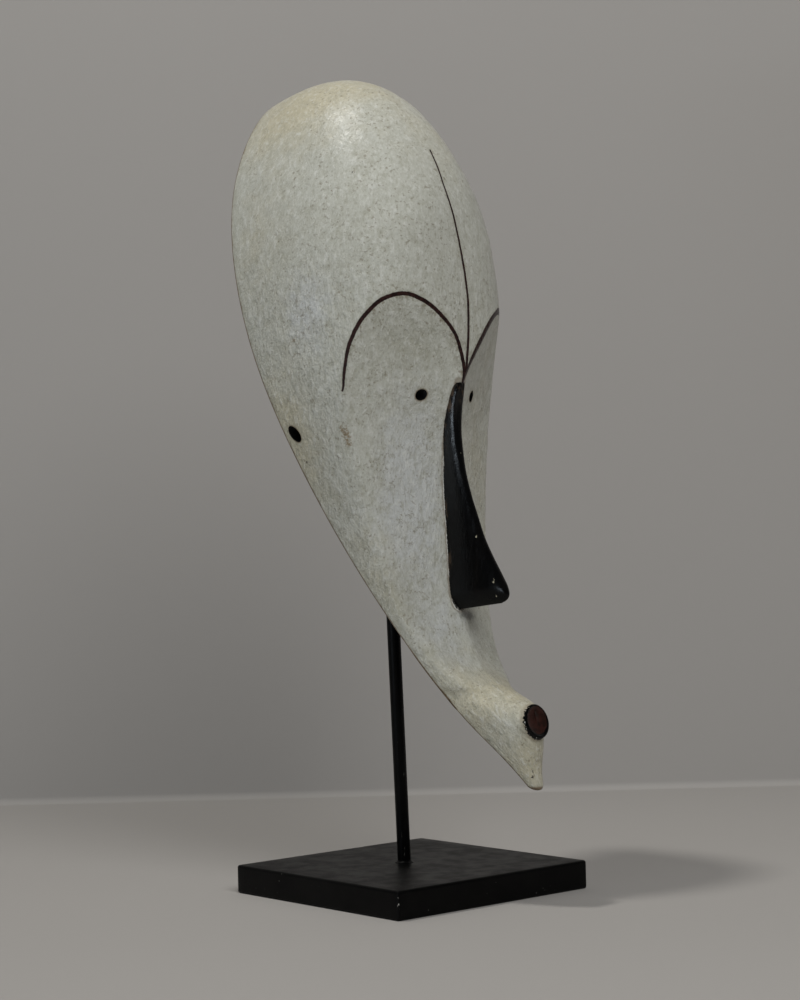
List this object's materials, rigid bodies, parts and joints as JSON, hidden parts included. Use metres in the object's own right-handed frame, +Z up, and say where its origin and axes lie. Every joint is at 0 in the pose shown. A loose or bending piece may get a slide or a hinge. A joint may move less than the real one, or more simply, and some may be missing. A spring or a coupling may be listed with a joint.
{
  "type": "carved spirit mask on stand",
  "caption": "Tall carved wooden spirit mask, hollow at the back, on a rod and square plate; it stands on a shelf or table.",
  "frame": {"origin": "middle of the underside of the base plate", "axes": "+Z up, -Y to the front edge of the plate; the face of the mask looks 6 degrees to the right of -Y seen from the front"},
  "size_m": [0.1572, 0.1922, 0.4952],
  "materials": {
    "painted_wood": "cream chalk paint over carved wood, satin",
    "black_metal": "black, satin",
    "black_wood": "black paint, satin"
  },
  "bodies": {
    "root": {"mask": "painted_wood", "rod": "black_metal", "base_plate": "black_wood"}
  },
  "joints": []
}
